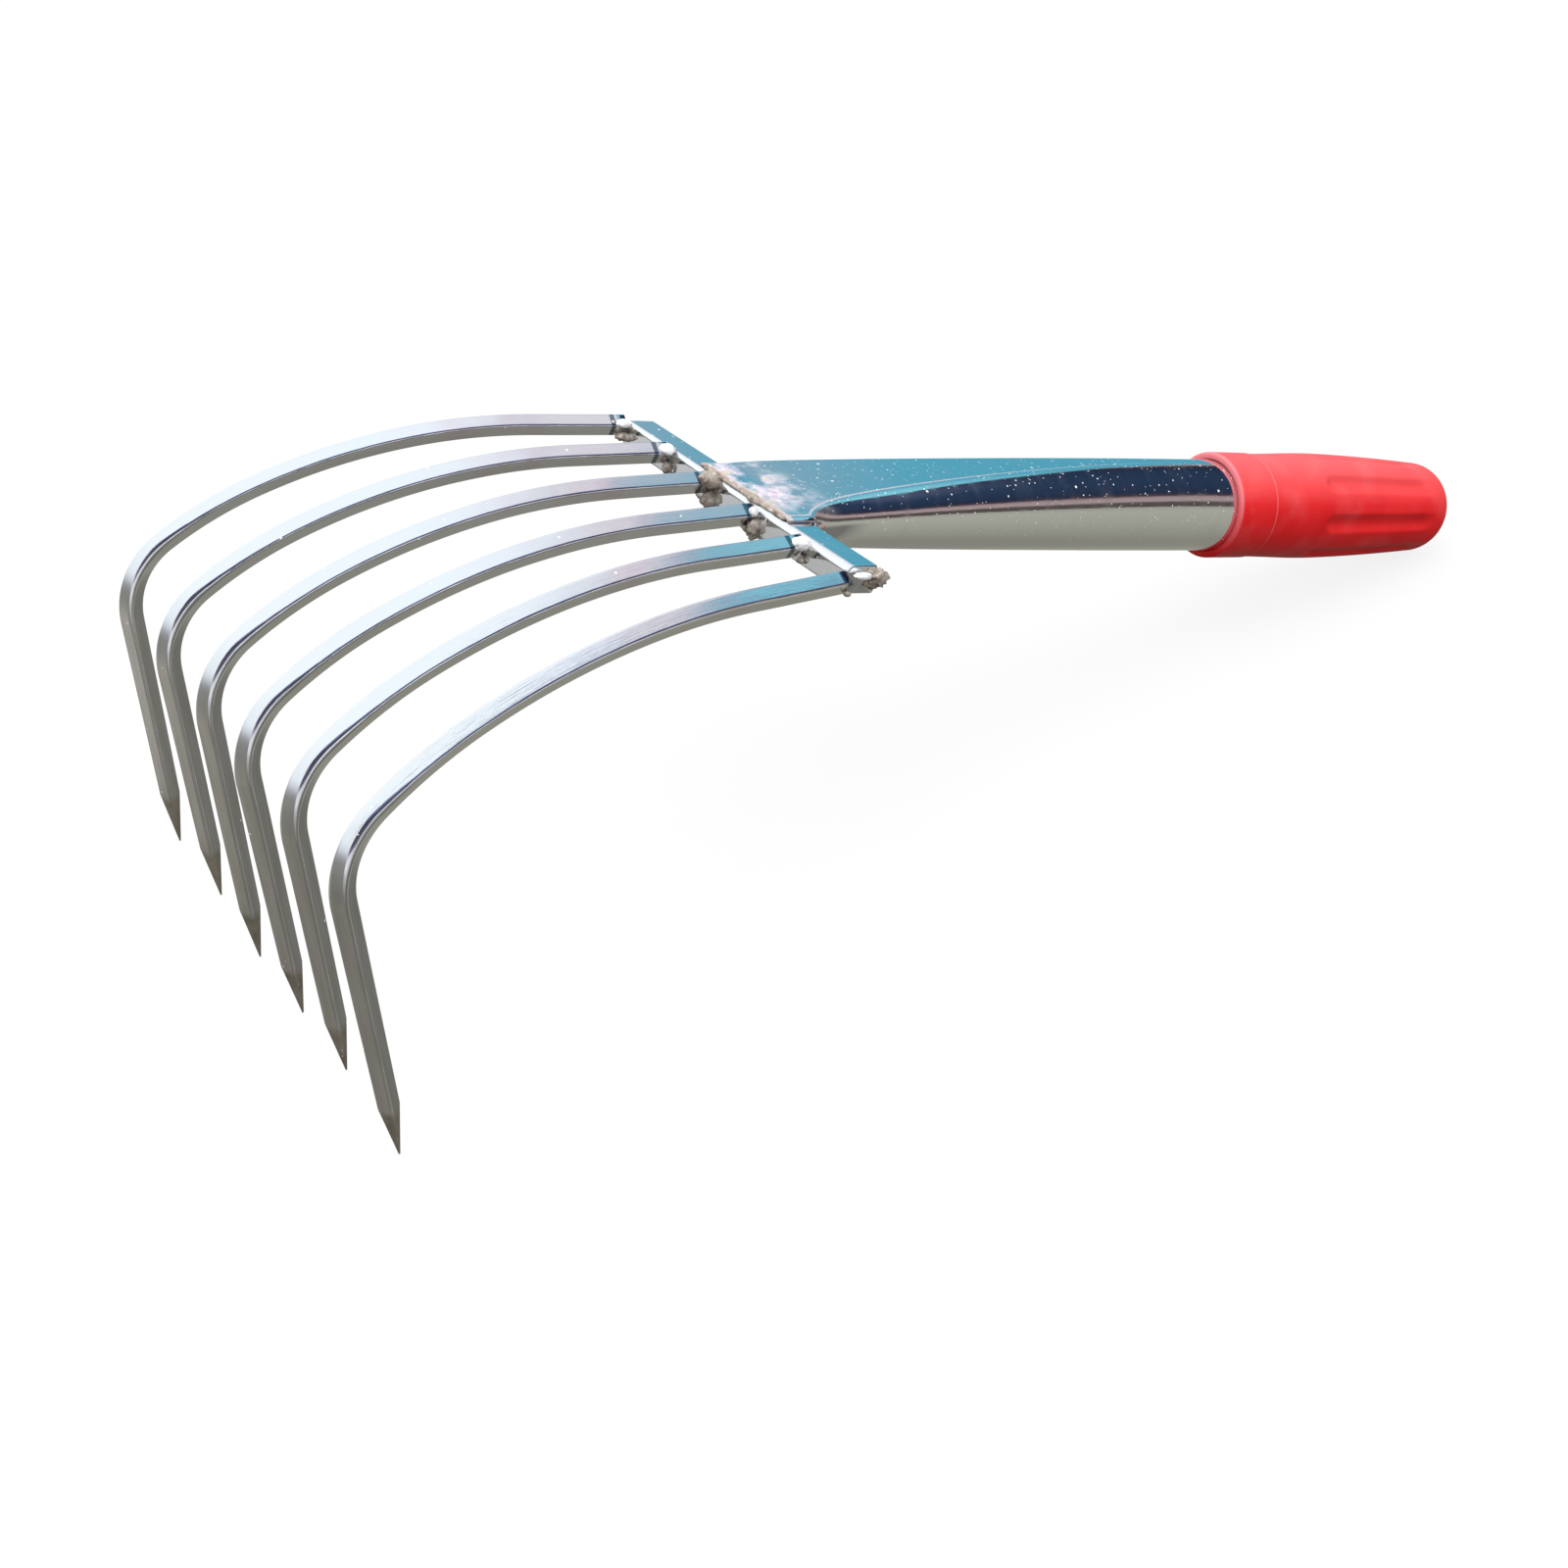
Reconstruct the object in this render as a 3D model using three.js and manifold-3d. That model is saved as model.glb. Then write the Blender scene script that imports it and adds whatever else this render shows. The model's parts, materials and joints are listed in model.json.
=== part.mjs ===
// Hand rake: six square steel tines on a crossbar, a pressed tube handle and a moulded end grip.
// Units are millimetres. Everything is laid out in a bench frame first: the origin is where the
// tube's axis crosses the front face of the crossbar, +X runs along the handle towards the grip,
// +Y runs across the head and +Z points up. The finished rake is then turned a little, so that it
// stands on its outer tine points and on the end of its grip with the floor at z = 0.

import * as THREE from "three";
import { mergeVertices } from "three/addons/utils/BufferGeometryUtils.js";
import Module from "manifold-3d";

const wasm = await Module();
wasm.setup();

// ---------- driving dimensions ----------

const JOINT_GAP = 0.3; // clear space kept between pieces that are welded or pressed together

const TINE_COUNT = 6;
const TINE_SIZE = 5.3; // square bar
const TINE_EDGE = 0.6; // chamfer along the bar's corners
const TINE_ROLL = degrees(33); // the bars sit turned about their own length, their tops towards -Y
const TINE_START = 0.8; // distance from the crossbar's face to the end of the bar

// The bars were cut and set by eye, so each tine has its own value of these, from tine 1 to tine 6.
const TINE_ACROSS = [68.5, 39, 11.5, -15.5, -43, -68.5]; // place along the crossbar
const TINE_HEIGHT = [2.4, 2.7, 2.2, 1.3, 1.4, -0.2]; // bar centre above the tube's axis, at the crossbar
const TINE_SPLAY = [6.2, 3.8, -0.1, -1, -3.9, -6.3].map(degrees); // turn outwards, seen from above
const TINE_DIP = [3.3, 4.3, 4.3, 5.5, 5.6, 6.5].map(degrees); // slope down and away from the crossbar
const TINE_LEG = [79.7, 79.5, 81.4, 81.1, 80.2, 86.6]; // from the bend to the point

const NECK_LENGTH = 31.3; // straight stretch next to the crossbar
const BACK_RADIUS = 209; // long shallow curve
const BACK_TURN = degrees(24.8);
const EASE_RADIUS = 129; // the curve gathers before the knee
const EASE_TURN = degrees(15);
const KNEE_RADIUS = 26.3; // tight bend above the leg
const KNEE_TURN = degrees(61.9);
const LEG_TAPER = 0.92; // the leg thins to this share of the bar by the start of the point
const POINT_LENGTH = 18; // ground taper at the end of the leg
const POINT_BLUNT = 0.08; // size of the point's tip, as a share of the bar

const CROSSBAR_DEPTH = 10.5;
const CROSSBAR_HEIGHT = 8.6;
const CROSSBAR_LENGTH = 136;
const CROSSBAR_EDGE = 0.6;

const TUBE_RADIUS = 16;
const TUBE_WALL = 1.2;
const LIP_START = 1.8; // front edge of the two lips that hold the crossbar
const MOUTH_HALF_WIDTH = 30; // the pressed mouth, where it meets the crossbar
const MOUTH_HALF_HEIGHT = CROSSBAR_HEIGHT / 2 + JOINT_GAP + TUBE_WALL;
const MOUTH_SHIFT = 5.8; // the mouth is off centre, towards -Y
const MOUTH_SPREAD = 8; // how quickly the spread mouth narrows behind the crossbar
const PRESS_LENGTH = 199; // the pressing fades out over this much of the tube
const PRESS_POWER = 1.86; // how the pressing fades: 1 is a straight ramp
const PRESS_WIDENING = 2; // the flat on top gains this much half width per mm pressed
const BELLY_DROP = 1; // the underside sags by this much at most
const BELLY_REACH = 34; // and most at this distance behind the crossbar
const TUBE_END = 282; // hidden inside the grip

const GRIP_START = 199.2;
const GRIP_END = 315;
const GRIP_RADIUS = 18.6;
const GRIP_LIP_ROUND = 1;
const COLLAR_LENGTH = 17; // smooth band up to the parting step
const COLLAR_STEP = 0.3;
const GRIP_SWELL = 0.4; // the body grows by this much towards its fullest part
const GRIP_FULL = 246; // the fullest part
const GRIP_TAPER_RADIUS = 16.6; // radius where the rounded end starts
const GRIP_TAPER_POWER = 1.6; // how the taper gathers pace
const GRIP_END_ROUND = 13;
const FLUTE_COUNT = 8;
const FLUTE_START = 242;
const FLUTE_END = 303; // the flutes run out where the end rounds off
const FLUTE_RADIUS = 3;
const FLUTE_DEPTH = 1.2;
const FLUTE_TURN = degrees(44); // the first flute, measured up from the -Y side

const BEAD_TOP = [3.2, 2.8, 1.5]; // half sizes of the bead laid on the upper face of each tine
const BEAD_FORWARD = 0.5; // space between that bead and the plane of the crossbar's face
const BEAD_UNDER = [2.7, 2.6, 3.2]; // half sizes of the bead run under the near side of each tine
const BEAD_SAG = 1; // how far that bead's middle hangs below the bar's side
const SEAM_RADIUS = 1.3; // weld along each lip
const SEAM_LENGTH = 36;
const END_BEAD = [4, 2.4, 2.8]; // half sizes of the lump on the crossbar's back corner beside tine 6
const END_BEAD_INSET = 0.9; // how far its middle lies in from the crossbar's back face
const END_BEAD_RISE = 0.8; // and above the crossbar's middle

function degrees(angle) {
  return (angle * Math.PI) / 180;
}

// ---------- materials ----------

const polishedSteel = new THREE.MeshStandardMaterial({ color: 0xb9c3cc, roughness: 0.18, metalness: 1 });
const tubeSteel = new THREE.MeshStandardMaterial({ color: 0xa9bcc6, roughness: 0.1, metalness: 1 });
const brightWeld = new THREE.MeshStandardMaterial({ color: 0xd8dade, roughness: 0.35, metalness: 0.9 });
const brownWeld = new THREE.MeshStandardMaterial({ color: 0x8a7562, roughness: 0.55, metalness: 0.8 });
const redPlastic = new THREE.MeshStandardMaterial({ color: 0xe8383a, roughness: 0.45, metalness: 0 });

// ---------- solids ----------

// A closed geometry, moved by an optional matrix, as a manifold solid.
function solid(geometry, matrix = new THREE.Matrix4()) {
  const bare = geometry.clone().applyMatrix4(matrix);
  bare.deleteAttribute("normal");
  bare.deleteAttribute("uv");
  const merged = mergeVertices(bare, 1e-4);
  return new wasm.Manifold(
    new wasm.Mesh({
      numProp: 3,
      vertProperties: merged.attributes.position.array,
      triVerts: new Uint32Array(merged.index.array),
    }),
  );
}

// A manifold solid as a three.js geometry.
function geometryOf(shape) {
  const mesh = shape.getMesh();
  const geometry = new THREE.BufferGeometry();
  geometry.setAttribute("position", new THREE.BufferAttribute(mesh.vertProperties.slice(), 3));
  geometry.setIndex(new THREE.BufferAttribute(mesh.triVerts.slice(), 1));
  geometry.computeVertexNormals();
  return geometry;
}

// A square with its four corners cut off.
function chamferedRectangle(width, height, edge) {
  const x = width / 2;
  const y = height / 2;
  return new THREE.Shape([
    new THREE.Vector2(-x + edge, -y),
    new THREE.Vector2(x - edge, -y),
    new THREE.Vector2(x, -y + edge),
    new THREE.Vector2(x, y - edge),
    new THREE.Vector2(x - edge, y),
    new THREE.Vector2(-x + edge, y),
    new THREE.Vector2(-x, y - edge),
    new THREE.Vector2(-x, -y + edge),
  ]);
}

function place(x, y, z, turn = 0) {
  const matrix = new THREE.Matrix4().makeRotationZ(turn);
  return matrix.setPosition(x, y, z);
}

// ---------- tines ----------

// The bar's centreline as stations walked from the crossbar: x runs to -X, z up.
// Tine 1 is on the +Y side.
function tineStations(number) {
  const runs = [
    { length: NECK_LENGTH, turn: 0, steps: 1 },
    { length: BACK_RADIUS * BACK_TURN, turn: BACK_TURN, steps: 8 },
    { length: EASE_RADIUS * EASE_TURN, turn: EASE_TURN, steps: 4 },
    { length: KNEE_RADIUS * KNEE_TURN, turn: KNEE_TURN, steps: 12 },
    { length: TINE_LEG[number - 1] - POINT_LENGTH, turn: 0, steps: 1 },
    { length: POINT_LENGTH, turn: 0, steps: 1 },
  ];
  let x = 0;
  let z = 0;
  let heading = -TINE_DIP[number - 1];
  const stations = [{ x, z, heading, scale: 1 }];
  for (const run of runs) {
    const turn = run.turn / run.steps;
    const arc = run.length / run.steps;
    const chord = turn > 0 ? (arc * Math.sin(turn / 2)) / (turn / 2) : arc;
    for (let step = 0; step < run.steps; step++) {
      x -= chord * Math.cos(heading - turn / 2);
      z += chord * Math.sin(heading - turn / 2);
      heading -= turn;
      stations.push({ x, z, heading, scale: 1 });
    }
  }
  stations.at(-2).scale = LEG_TAPER;
  stations.at(-1).scale = POINT_BLUNT;
  return stations;
}

// A straight square bar, one slice for each station, bent so that each slice sits on its station.
function tineGeometry(number) {
  const stations = tineStations(number);
  const slices = stations.length - 1;
  const geometry = new THREE.ExtrudeGeometry(chamferedRectangle(TINE_SIZE, TINE_SIZE, TINE_EDGE), {
    depth: slices,
    steps: slices,
    bevelEnabled: false,
  });
  geometry.rotateZ(-TINE_ROLL);
  const points = geometry.attributes.position;
  for (let i = 0; i < points.count; i++) {
    const station = stations[Math.round(points.getZ(i))];
    const across = -points.getX(i) * station.scale;
    const above = points.getY(i) * station.scale;
    points.setXYZ(
      i,
      station.x + above * Math.sin(station.heading),
      across,
      station.z + above * Math.cos(station.heading),
    );
  }
  geometry.computeVertexNormals();
  return geometry;
}

// Where the bar starts, next to the crossbar's front face, and which way it leans.
function tineRoot(number) {
  return place(-TINE_START, TINE_ACROSS[number - 1], TINE_HEIGHT[number - 1], -TINE_SPLAY[number - 1]);
}

function tine(number) {
  const mesh = new THREE.Mesh(tineGeometry(number), polishedSteel);
  mesh.name = `tine_${number}`;
  mesh.applyMatrix4(tineRoot(number));
  return mesh;
}

// ---------- crossbar ----------

function crossbar() {
  const section = chamferedRectangle(CROSSBAR_DEPTH, CROSSBAR_HEIGHT, CROSSBAR_EDGE);
  const options = { depth: CROSSBAR_LENGTH, steps: 10, bevelEnabled: false };
  const geometry = new THREE.ExtrudeGeometry(section, options);
  geometry.translate(0, 0, -CROSSBAR_LENGTH / 2);
  geometry.rotateX(Math.PI / 2);
  const mesh = new THREE.Mesh(geometry, polishedSteel);
  mesh.name = "crossbar";
  mesh.position.x = CROSSBAR_DEPTH / 2;
  return mesh;
}

// The room the crossbar takes up, with a gap all round.
function crossbarRoom() {
  const room = new THREE.BoxGeometry(
    CROSSBAR_DEPTH + 2 * JOINT_GAP,
    CROSSBAR_LENGTH + 2 * JOINT_GAP,
    CROSSBAR_HEIGHT + 2 * JOINT_GAP,
  );
  return solid(room, place(CROSSBAR_DEPTH / 2, 0, 0));
}

// ---------- handle tube ----------

// How far the tube has opened out again at x: 0 at the crossbar, 1 where it is round.
function openness(x) {
  const along = Math.min(Math.max((x - CROSSBAR_DEPTH) / PRESS_LENGTH, 0), 1);
  return 1 - (1 - along) ** PRESS_POWER;
}

// The pressed tube at x: half its height, half the width of its flat top, how far its middle is
// off the axis, and how far the underside sags.
function pressedSection(x) {
  const halfHeight = THREE.MathUtils.lerp(MOUTH_HALF_HEIGHT, TUBE_RADIUS, openness(x));
  const behind = Math.max(x - CROSSBAR_DEPTH, 0);
  const spread = Math.exp(-behind / MOUTH_SPREAD);
  const mouthFlat = MOUTH_HALF_WIDTH - MOUTH_HALF_HEIGHT;
  const mouthExtra = mouthFlat - PRESS_WIDENING * (TUBE_RADIUS - MOUTH_HALF_HEIGHT);
  const halfFlat = PRESS_WIDENING * (TUBE_RADIUS - halfHeight) + mouthExtra * spread;
  const reach = behind / BELLY_REACH;
  const sag = BELLY_DROP * reach * Math.exp(1 - reach);
  return { halfHeight, halfFlat, middle: -MOUTH_SHIFT * spread, sag };
}

function tubeGeometry() {
  const sides = 40;
  const flatShare = 0.17; // share of the rim, as a cosine, that becomes the flat
  const stops = [LIP_START, CROSSBAR_DEPTH];
  for (let step = 1; step <= 11; step++) stops.push(CROSSBAR_DEPTH + (step / 11) * PRESS_LENGTH);
  stops.push(TUBE_END);
  const outer = stops.map((x) => new THREE.Vector2(TUBE_RADIUS, x));
  const inner = stops.map((x) => new THREE.Vector2(TUBE_RADIUS - TUBE_WALL, x)).reverse();
  const geometry = new THREE.LatheGeometry([...outer, ...inner, outer[0]], sides);
  // The lathe turns about Y: its axis becomes X, and each rim point is pressed by its own place.
  const points = geometry.attributes.position;
  for (let i = 0; i < points.count; i++) {
    const x = points.getY(i);
    const radius = Math.hypot(points.getX(i), points.getZ(i));
    const across = -points.getX(i) / radius;
    const up = points.getZ(i) / radius;
    const { halfHeight, halfFlat, middle, sag } = pressedSection(x);
    const inset = TUBE_RADIUS - radius;
    const side = THREE.MathUtils.clamp(across / flatShare, -1, 1);
    const rise = halfHeight - inset + (up < 0 ? sag : 0);
    points.setXYZ(i, x, middle + side * halfFlat + across * (halfHeight - inset), up * rise);
  }
  return geometry;
}

function handleTube() {
  const mesh = new THREE.Mesh(geometryOf(solid(tubeGeometry()).subtract(crossbarRoom())), tubeSteel);
  mesh.name = "handle_tube";
  return mesh;
}

// ---------- grip ----------

// The grip's outside, turned about its axis: points run (radius, distance along the handle).
function gripProfile() {
  const roundStart = GRIP_END - GRIP_END_ROUND;
  const collarEnd = GRIP_START + COLLAR_LENGTH;
  const body = GRIP_RADIUS - COLLAR_STEP;
  const full = GRIP_RADIUS + GRIP_SWELL;
  const points = [
    new THREE.Vector2(0, GRIP_START),
    new THREE.Vector2(GRIP_RADIUS - GRIP_LIP_ROUND, GRIP_START),
    new THREE.Vector2(GRIP_RADIUS, GRIP_START + GRIP_LIP_ROUND),
    new THREE.Vector2(GRIP_RADIUS, collarEnd),
    new THREE.Vector2(body, collarEnd + COLLAR_STEP),
  ];
  const taperSteps = 5;
  for (let step = 0; step < taperSteps; step++) {
    const share = step / taperSteps;
    const radius = full - (full - GRIP_TAPER_RADIUS) * share ** GRIP_TAPER_POWER;
    points.push(new THREE.Vector2(radius, THREE.MathUtils.lerp(GRIP_FULL, roundStart, share)));
  }
  const steps = 8;
  for (let step = 0; step <= steps; step++) {
    const angle = (step / steps) * (Math.PI / 2);
    const radius = GRIP_TAPER_RADIUS - GRIP_END_ROUND * (1 - Math.cos(angle));
    points.push(new THREE.Vector2(radius, roundStart + GRIP_END_ROUND * Math.sin(angle)));
  }
  points.push(new THREE.Vector2(0, GRIP_END));
  return points;
}

// How far from the grip's axis the middle of each fluting bar lies.
function fluteMiddleRadius() {
  const surface = (GRIP_RADIUS + GRIP_SWELL + GRIP_TAPER_RADIUS) / 2 + COLLAR_STEP;
  return surface + FLUTE_RADIUS - FLUTE_DEPTH;
}

function gripSolid() {
  const sides = 48;
  const alongX = new THREE.Matrix4().makeRotationZ(-Math.PI / 2);
  let shape = solid(new THREE.LatheGeometry(gripProfile(), sides), alongX);
  const boreRadius = TUBE_RADIUS + JOINT_GAP;
  const boreEnd = TUBE_END + JOINT_GAP;
  const boreLength = boreEnd - GRIP_START + 10;
  const bore = new THREE.CylinderGeometry(boreRadius, boreRadius, boreLength, sides);
  shape = shape.subtract(solid(bore, place(boreEnd - boreLength / 2, 0, 0, -Math.PI / 2)));
  // Each flute is cut with a rounded bar, which leans with the taper so that it keeps its depth.
  const fluteLength = FLUTE_END - FLUTE_START;
  const lean = Math.atan2(GRIP_RADIUS + GRIP_SWELL - GRIP_TAPER_RADIUS, GRIP_END - GRIP_END_ROUND - GRIP_FULL);
  const flute = new THREE.CapsuleGeometry(FLUTE_RADIUS, fluteLength - 2 * FLUTE_RADIUS, 4, 12);
  flute.rotateZ(-Math.PI / 2);
  flute.rotateZ(lean);
  flute.translate((FLUTE_START + FLUTE_END) / 2, -fluteMiddleRadius(), 0);
  for (let index = 0; index < FLUTE_COUNT; index++) {
    const angle = FLUTE_TURN + (index / FLUTE_COUNT) * 2 * Math.PI;
    shape = shape.subtract(solid(flute, new THREE.Matrix4().makeRotationX(-angle)));
  }
  return shape;
}

function endGrip() {
  const mesh = new THREE.Mesh(geometryOf(gripSolid()), redPlastic);
  mesh.name = "end_grip";
  return mesh;
}

// ---------- welds ----------

function tineRoom(number) {
  const reach = 40;
  const size = TINE_SIZE + 2 * JOINT_GAP;
  const bar = new THREE.BoxGeometry(reach, size, size);
  bar.rotateX(TINE_ROLL);
  bar.translate(-reach / 2 + TINE_START, 0, 0);
  bar.rotateY(-TINE_DIP[number - 1]);
  return solid(bar, tineRoot(number));
}

// A lump of weld: a ball pulled to size and turned about X, with room cut for its neighbours.
function bead(name, halfSizes, roll, centre, rooms, material) {
  const ball = new THREE.SphereGeometry(1, 14, 9);
  ball.scale(...halfSizes);
  ball.rotateX(roll);
  let shape = solid(ball, place(...centre));
  for (const room of rooms) shape = shape.subtract(room);
  const mesh = new THREE.Mesh(geometryOf(shape), material);
  mesh.name = name;
  return mesh;
}

function tineBeads(number) {
  const y = TINE_ACROSS[number - 1];
  const rooms = [tineRoom(number), crossbarRoom()];
  const z = TINE_HEIGHT[number - 1];
  const lean = (TINE_SIZE / 2) * Math.sin(TINE_ROLL);
  const rise = (TINE_SIZE / 2) * Math.cos(TINE_ROLL);
  const top = [-BEAD_TOP[0] - BEAD_FORWARD, y - lean, z + rise];
  const under = [-BEAD_UNDER[0] / 2, y - TINE_SIZE / 2, z - rise - BEAD_SAG];
  return [
    bead(`tine_bead_top_${number}`, BEAD_TOP, TINE_ROLL, top, rooms, brightWeld),
    bead(`tine_bead_under_${number}`, BEAD_UNDER, 0, under, rooms, brownWeld),
  ];
}

// The lump of weld on the -Y end of the crossbar, at its back corner.
function endBead() {
  const centre = [CROSSBAR_DEPTH - END_BEAD_INSET, -CROSSBAR_LENGTH / 2 - 2 * JOINT_GAP, END_BEAD_RISE];
  const rooms = [tineRoom(TINE_COUNT), crossbarRoom()];
  return bead("crossbar_end_bead", END_BEAD, 0, centre, rooms, brownWeld);
}

// A weld run along the front edge of one lip: side is 1 for the top lip and -1 for the bottom one.
function lipSeam(name, side) {
  const seam = new THREE.CapsuleGeometry(SEAM_RADIUS, SEAM_LENGTH, 5, 12);
  const z = side * (CROSSBAR_HEIGHT / 2 + JOINT_GAP);
  const lipRoom = new THREE.BoxGeometry(CROSSBAR_DEPTH, 4 * TUBE_RADIUS, 8);
  const lip = solid(lipRoom, place(LIP_START - JOINT_GAP + CROSSBAR_DEPTH / 2, 0, z));
  const run = solid(seam, place(LIP_START - SEAM_RADIUS / 2, -MOUTH_SHIFT, z));
  const shape = run.subtract(lip).subtract(crossbarRoom());
  const mesh = new THREE.Mesh(geometryOf(shape), brownWeld);
  mesh.name = name;
  return mesh;
}

// ---------- standing pose ----------

function tinePoint(number) {
  const tip = tineStations(number).at(-1);
  return new THREE.Vector3(tip.x, 0, tip.z).applyMatrix4(tineRoot(number));
}

// The direction that is up when the rake stands on its two outer points and the end of its grip.
function standingUp() {
  const left = tinePoint(1);
  const right = tinePoint(TINE_COUNT);
  const up = new THREE.Vector3(0, 0, 1);
  for (let pass = 0; pass < 6; pass++) {
    const contact = new THREE.Vector3(0, -up.y, -up.z).setLength(GRIP_TAPER_RADIUS - GRIP_END_ROUND);
    contact.x = GRIP_END - GRIP_END_ROUND;
    contact.addScaledVector(up, -GRIP_END_ROUND);
    up.crossVectors(right.clone().sub(contact), left.clone().sub(contact)).normalize();
    if (up.z < 0) up.negate();
  }
  return up;
}

const bench = new THREE.Group();
for (let number = 1; number <= TINE_COUNT; number++) bench.add(tine(number), ...tineBeads(number));
bench.add(crossbar(), handleTube(), endGrip(), endBead());
bench.add(lipSeam("handle_seam_top", 1), lipSeam("handle_seam_under", -1));

// Turn the bench frame so that standing up becomes +Z and the handle stays over the X axis.
const up = standingUp();
const handle = new THREE.Vector3(1, 0, 0).addScaledVector(up, -up.x).normalize();
const across = new THREE.Vector3().crossVectors(up, handle);
const standing = new THREE.Matrix4().makeBasis(handle, across, up).transpose();
bench.quaternion.setFromRotationMatrix(standing);

// The origin is on the floor, under the middle of the rake.
const rake = new THREE.Group();
rake.add(bench);
const box = new THREE.Box3().setFromObject(rake, true);
const middle = box.getCenter(new THREE.Vector3());
bench.position.set(-middle.x, -middle.y, -box.min.z);

export default rake;
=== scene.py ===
"""Hand rake: the finished looks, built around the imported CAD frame.

Every piece is worked out in the bench frame of the CAD design, in millimetres: the origin is where
the tube's axis crosses the front face of the crossbar, X runs along the handle towards the grip, Y
runs across the head towards tine 1 and Z points up from the handle. Its mesh is written in the row
frame, in metres, and each point also remembers its bench place, in metres, for the materials.
"""

import json
import math

import bpy
import numpy as np
from mathutils import Matrix, Vector, noise


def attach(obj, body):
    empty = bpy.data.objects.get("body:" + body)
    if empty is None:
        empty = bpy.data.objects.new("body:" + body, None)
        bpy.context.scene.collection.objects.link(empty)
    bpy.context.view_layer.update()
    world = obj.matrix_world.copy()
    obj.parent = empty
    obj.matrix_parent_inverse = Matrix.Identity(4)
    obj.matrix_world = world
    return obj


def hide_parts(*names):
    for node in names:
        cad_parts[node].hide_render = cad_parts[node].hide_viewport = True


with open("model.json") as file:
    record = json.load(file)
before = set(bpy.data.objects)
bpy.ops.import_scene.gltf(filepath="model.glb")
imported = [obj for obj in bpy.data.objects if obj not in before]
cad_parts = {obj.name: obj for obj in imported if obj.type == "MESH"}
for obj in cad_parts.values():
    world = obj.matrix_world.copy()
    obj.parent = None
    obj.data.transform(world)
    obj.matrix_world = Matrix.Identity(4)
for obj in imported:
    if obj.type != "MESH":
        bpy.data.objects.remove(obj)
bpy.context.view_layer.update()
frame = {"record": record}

MM = 0.001
UP = Vector((0, 0, 1))

# ---------- the bench frame, from the CAD ----------

CROSSBAR_DEPTH = 10.5
CROSSBAR_HEIGHT = 8.6
CROSSBAR_LENGTH = 136.0

# The two mounts sit on the crossbar's back face, level with the handle's axis, either side of it.
mount_places = [Vector(mount["pos_m"]) for mount in frame["record"]["mounts"]]
handle_axis = Vector(frame["record"]["mounts"][0]["axis"]).normalized()
across_axis = (mount_places[0] - mount_places[1]).normalized()
lift_axis = handle_axis.cross(across_axis)
bench_origin = (mount_places[0] + mount_places[1]) / 2 - handle_axis * (CROSSBAR_DEPTH * MM)
bench_turn = Matrix((handle_axis, across_axis, lift_axis)).transposed().to_4x4()
BENCH = Matrix.Translation(bench_origin) @ bench_turn

# ---------- dimensions, in millimetres ----------

TINE_COUNT = 6
TINE_SIZE = 5.3
TINE_EDGE = 0.9  # radius of the bar's corners
KNEE_EDGE = 2.3  # the near corner is rounder in the knee
KNEE_MIDDLE = 160.0  # distance along the bar where it is roundest
KNEE_REACH = 15.0
BAR_UNEVENNESS = 0.08
TINE_ROLL = math.radians(33)  # the bars' tops are turned this much towards -Y
TINE_START = 0.3  # space between the crossbar's face and the end of the bar

# No two tines sit quite alike, so each has its own value of these, from tine 1 to tine 6.
TINE_ACROSS = (68.5, 39.0, 11.5, -15.5, -43.0, -68.5)
TINE_HEIGHT = (2.4, 2.7, 2.2, 1.3, 1.4, -0.2)
TINE_SPLAY = (6.2, 3.8, -0.1, -1.0, -3.9, -6.3)
TINE_DIP = (3.3, 4.3, 4.3, 5.5, 5.6, 6.5)
TINE_LEG = (79.7, 79.5, 81.4, 81.1, 80.2, 86.6)
SHADE_LINE_PLACE = (4.6, 4.9, 4.6, 3.0, 4.9, 1.0)  # a dark line of painted shade round the bar, standing in for the shadow of the undercut by the weld

NECK_LENGTH = 31.3
BACK_RADIUS = 209.0
BACK_TURN = math.radians(24.8)
EASE_RADIUS = 129.0
EASE_TURN = math.radians(15)
KNEE_RADIUS = 26.3
KNEE_TURN = math.radians(61.9)
LEG_SWELL = 1.06  # the bar is this much fuller below the knee
LEG_TAPER = 0.92
POINT_LENGTH = 18.0
POINT_BLUNT = 0.07

TUBE_RADIUS = 16.0
TUBE_WALL = 1.2
LIP_START = 1.8
JOINT_GAP = 0.3
MOUTH_HALF_WIDTH = 30.0
MOUTH_HALF_HEIGHT = CROSSBAR_HEIGHT / 2 + JOINT_GAP + TUBE_WALL
MOUTH_SHIFT = 5.8
MOUTH_SPREAD = 8.0
PRESS_LENGTH = 199.0
PRESS_POWER = 1.86
PRESS_WIDENING = 2.0
BELLY_DROP = 1.0
BELLY_REACH = 34.0
TUBE_END = 282.0

GRIP_START = 199.2
GRIP_END = 315.0
GRIP_RADIUS = 18.6
COLLAR_END = 216.2
COLLAR_STEP = 0.3
GRIP_SWELL = 0.4
GRIP_FULL = 246.0
GRIP_TAPER_RADIUS = 16.6
GRIP_TAPER_POWER = 1.6
GRIP_END_ROUND = 13.0
FLUTE_COUNT = 8
FLUTE_START = 241.0
FLUTE_END = 304.0
FLUTE_HALF_WIDTH = 3.8
FLUTE_DEPTH = 1.35
FLUTE_TURN = math.radians(44)
GRIP_BORE_GAP = 0.06  # the grip is a press fit on the tube


# ---------- mesh helpers ----------


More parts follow.
